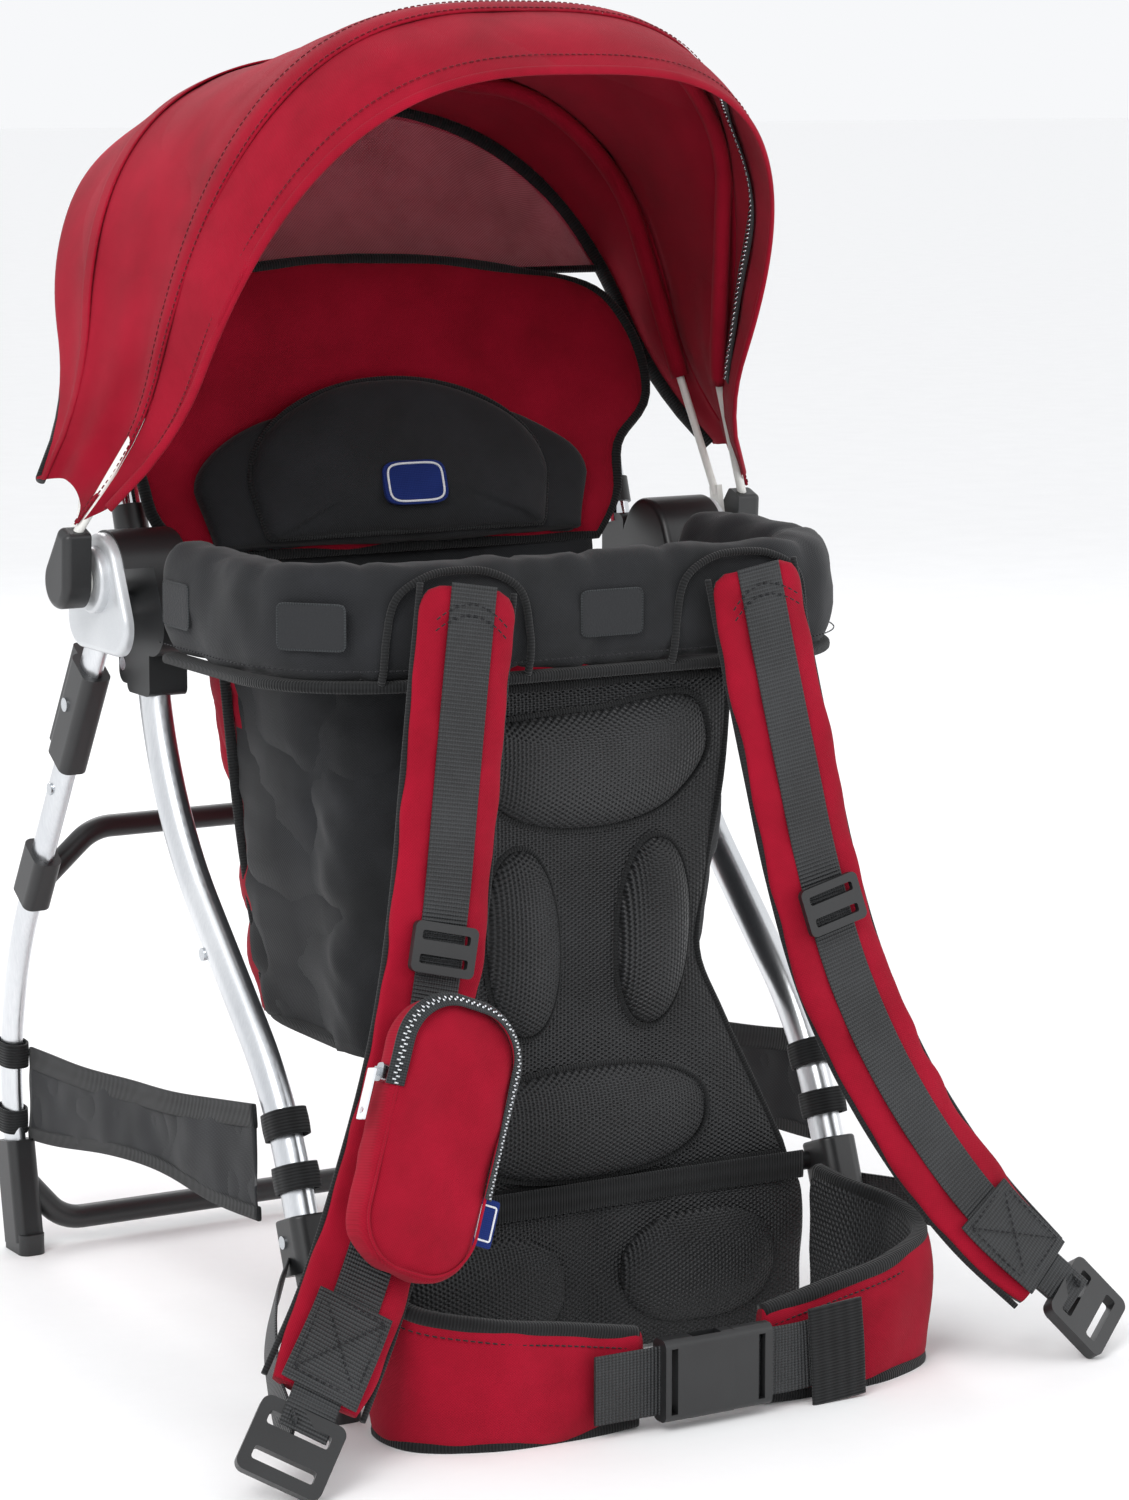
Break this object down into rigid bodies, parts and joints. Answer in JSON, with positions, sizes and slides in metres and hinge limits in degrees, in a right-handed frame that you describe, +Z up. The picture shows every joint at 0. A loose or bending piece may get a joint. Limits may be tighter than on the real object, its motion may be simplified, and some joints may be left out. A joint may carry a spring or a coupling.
{
  "type": "framed baby carrier backpack",
  "caption": "Framed child carrier for a parent's back: curved tubes, fold-out stand, padded ring and seat, sun canopy, shoulder straps, waist belt and side pouch.",
  "frame": {"origin": "on the floor, at the middle of the footprint box", "axes": "+X to the right as the wearer's-back side is looked at, -Y towards the wearer's back, +Y towards the fold-out stand, +Z up from the floor"},
  "size_m": [0.6148, 0.591, 0.8244],
  "materials": {
    "aluminium_tube": "satin anodised drawn tube",
    "chromed_steel": "bright plated round tube",
    "black_plastic": "fine-grained moulded nylon",
    "silver_plastic": "painted moulded cover",
    "steel_fastener": "zinc-plated rivet and pin",
    "black_fabric": "plain-woven polyester over foam",
    "red_fabric": "plain-woven coated polyester",
    "red_voile": "open-weave sheer polyester",
    "black_mesh": "spacer mesh over foam",
    "black_webbing": "ribbed polypropylene webbing",
    "white_rod": "pultruded glass-fibre rod",
    "zip_metal": "cast zip slider",
    "white_plastic": "moulded pull tab"
  },
  "bodies": {
    "frame": {"front_tube_left": "aluminium_tube", "front_tube_right": "aluminium_tube", "base_leg_left": "black_plastic", "base_leg_right": "black_plastic", "front_crossbar": "black_plastic", "frame_bracket_left": "black_plastic", "frame_bracket_right": "black_plastic", "housing_inner_left": "black_plastic", "housing_inner_right": "black_plastic", "housing_cover_left": "silver_plastic", "housing_cover_right": "silver_plastic", "stand_pins": "steel_fastener", "hoop_collars": "black_plastic", "ring_tube": "chromed_steel", "ring_pad": "black_fabric", "backrest_hoop": "chromed_steel", "backrest": "red_fabric", "headrest": "black_fabric", "seat_bag": "black_fabric", "seat_board": "black_plastic", "harness_straps": "black_webbing", "harness_buckle": "black_plastic", "back_panel": "black_mesh", "back_pads": "black_mesh", "lumbar_pad": "black_mesh", "belt_wing_left": "red_fabric", "belt_wing_right": "red_fabric", "buckle_socket": "black_plastic", "belt_webbing_left": "black_webbing", "shoulder_strap_left": "red_fabric", "shoulder_strap_right": "red_fabric", "strap_webbing": "black_webbing", "strap_buckle_left": "black_plastic", "strap_buckle_right": "black_plastic", "load_straps": "black_webbing", "phone_pouch": "red_fabric", "frame_rivets": "steel_fastener", "side_web_left": "black_fabric", "side_web_right": "black_fabric", "canopy_window": "red_voile"},
    "stand": {"rear_leg_left": "aluminium_tube", "rear_leg_right": "aluminium_tube", "leg_sleeve_left": "black_plastic", "leg_sleeve_right": "black_plastic", "mid_crossbar": "black_plastic", "foot_bar": "black_plastic", "leg_rivets": "steel_fastener"},
    "rear_bow": {"rear_bow": "white_rod", "canopy_rear": "red_fabric"},
    "front_bow": {"front_bow": "white_rod", "bow_cap_left": "black_plastic", "bow_cap_right": "black_plastic", "visor": "red_fabric", "canopy_front": "red_fabric"},
    "buckle_plug": {"buckle_plug": "black_plastic", "belt_webbing_right": "black_webbing"},
    "strap_slider_left": {"strap_slider_left": "black_plastic"},
    "strap_slider_right": {"strap_slider_right": "black_plastic"},
    "zip_slider": {"zip_slider": "zip_metal"},
    "zip_pull": {"zip_pull": "white_plastic"}
  },
  "joints": [
    {"name": "stand_fold", "type": "hinge", "parent": "frame", "child": "stand", "pos_m": [0, 0.102, 0.462], "axis": [1, 0, 0], "range_deg": [-26, 0], "deforming": ["side_web_left", "side_web_right"]},
    {"name": "rear_bow_tilt", "type": "hinge", "parent": "frame", "child": "rear_bow", "pos_m": [0, 0.086, 0.476], "axis": [1, 0, 0], "range_deg": [-16, 0], "deforming": ["canopy_rear", "canopy_window"]},
    {"name": "front_bow_tilt", "type": "hinge", "parent": "rear_bow", "child": "front_bow", "pos_m": [0, 0.086, 0.476], "axis": [1, 0, 0], "range_deg": [-24, 0], "deforming": ["canopy_front"]},
    {"name": "buckle_release", "type": "slide", "parent": "frame", "child": "buckle_plug", "axis": [1, 0, 0], "range_m": [0, 0.034]},
    {"name": "strap_slider_left_slide", "type": "slide", "parent": "frame", "child": "strap_slider_left", "axis": [-0.2399, -0.1466, -0.9597], "range_m": [-0.02, 0.008]},
    {"name": "strap_slider_right_slide", "type": "slide", "parent": "frame", "child": "strap_slider_right", "axis": [0.2399, -0.1466, -0.9597], "range_m": [-0.02, 0.008]},
    {"name": "zip_slide", "type": "slide", "parent": "frame", "child": "zip_slider", "axis": [-0.3767, -0.2197, -0.8999], "range_m": [-0.017, 0.004]},
    {"name": "zip_pull_swing", "type": "hinge", "parent": "zip_slider", "child": "zip_pull", "pos_m": [-0.1985, -0.23362, 0.22728], "axis": [0.049, -0.9748, 0.2175], "range_deg": [-75, 0]}
  ],
  "couplings": [
    {"joint": "front_bow_tilt", "follows": "rear_bow_tilt", "ratio": 1.5}
  ]
}
